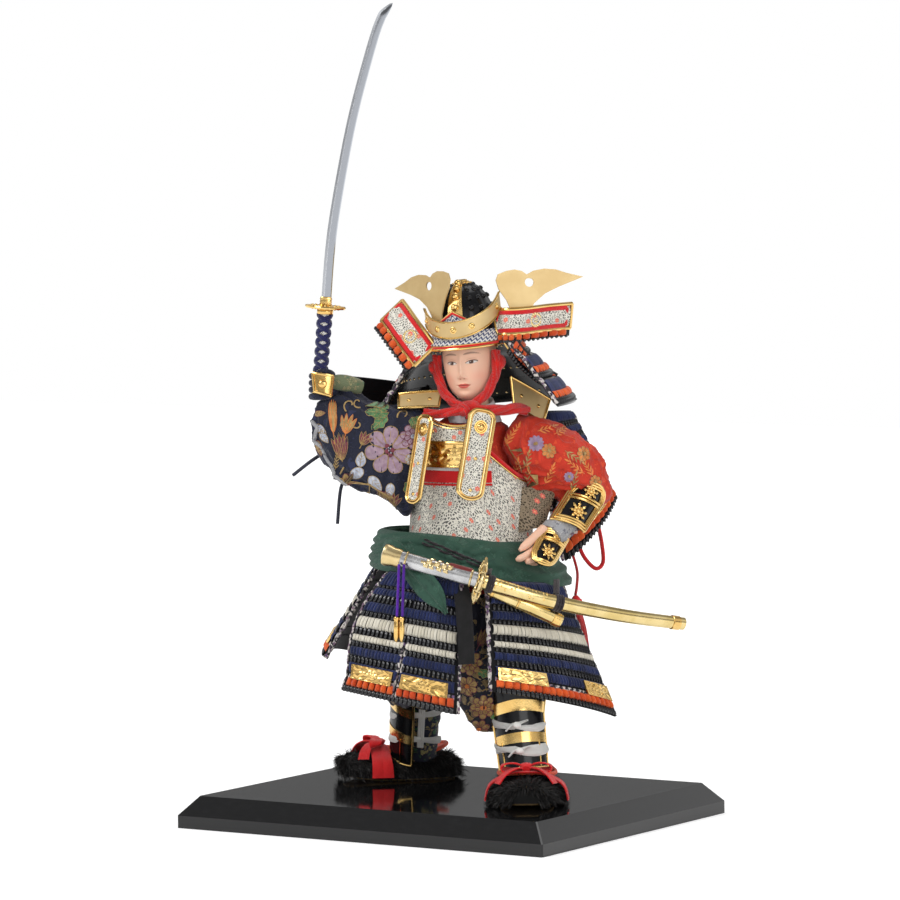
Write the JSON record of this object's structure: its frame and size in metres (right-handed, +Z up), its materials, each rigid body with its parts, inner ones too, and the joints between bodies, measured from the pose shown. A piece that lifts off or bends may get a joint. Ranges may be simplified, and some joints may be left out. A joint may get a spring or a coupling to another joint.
{
  "type": "samurai doll",
  "caption": "Armoured warrior display doll with a raised sword, horned helmet, laced skirt panels and slung swords, standing on a chamfered black lacquered board.",
  "frame": {"origin": "centre of the board's underside", "axes": "+Z up, +X along the board's 26 cm side to its right, -Y out of the board's front"},
  "size_m": [0.26, 0.21, 0.4946],
  "materials": {
    "lacquer": "black lacquer, mirror gloss",
    "straw": "bound straw",
    "fur": "black fur pile",
    "red_silk": "red silk cord and ribbon",
    "dark_brocade": "woven brocade",
    "black_plate": "black lacquered plate",
    "navy_lace": "laced silk braid",
    "printed_hide": "printed leather",
    "gold": "gilt, bright",
    "pale_gold": "gilt, satin",
    "steel": "polished",
    "white_cloth": "plain weave",
    "green_cloth": "crinkled weave",
    "red_brocade": "woven brocade",
    "skin": "painted doll skin, satin",
    "black_cord": "braided cord",
    "purple_silk": "braided silk cord"
  },
  "bodies": {
    "root": {"aglet_a": "gold", "aglet_b": "gold", "base_board": "lacquer", "body_core": "straw", "bow_loop": "red_silk", "breast_plate": "printed_hide", "chin_cord": "red_silk", "collar": "white_cloth", "cuirass": "printed_hide", "gilt_chest_plate": "gold", "head": "skin", "helmet_bowl": "black_plate", "hilt_cord_a": "purple_silk", "hilt_cord_b": "purple_silk", "horn_base": "pale_gold", "left_chest_guard": "gold", "left_forearm_plate": "gold", "left_hand": "skin", "left_hand_plate": "gold", "left_horn": "pale_gold", "left_lower_leg": "dark_brocade", "left_shin_guard": "black_plate", "left_shoe": "fur", "left_shoe_tie": "red_silk", "left_shoulder_guard": "navy_lace", "left_shoulder_plate": "pale_gold", "left_side_flap": "printed_hide", "left_sleeve": "red_brocade", "neck_guard": "black_plate", "right_chest_guard": "gold", "right_hand": "skin", "right_horn": "pale_gold", "right_lower_leg": "dark_brocade", "right_shin_guard": "black_plate", "right_shoe": "fur", "right_shoe_tie": "red_silk", "right_shoulder_guard": "navy_lace", "right_shoulder_plate": "pale_gold", "right_side_flap": "printed_hide", "right_sleeve": "dark_brocade", "sash": "green_cloth", "short_scabbard": "pale_gold", "skirt_back": "navy_lace", "skirt_front": "navy_lace", "skirt_left": "navy_lace", "skirt_right": "navy_lace", "sleeve_cord_a": "black_cord", "sleeve_cord_b": "black_cord", "sword_blade": "steel", "sword_grip": "navy_lace", "sword_guard": "gold", "tachi_guard": "gold", "tachi_hilt": "steel", "tachi_scabbard": "pale_gold", "tassel": "red_silk", "tassel_cord": "red_silk", "trousers": "dark_brocade", "visor": "printed_hide", "waist_strap": "black_cord"}
  },
  "joints": []
}
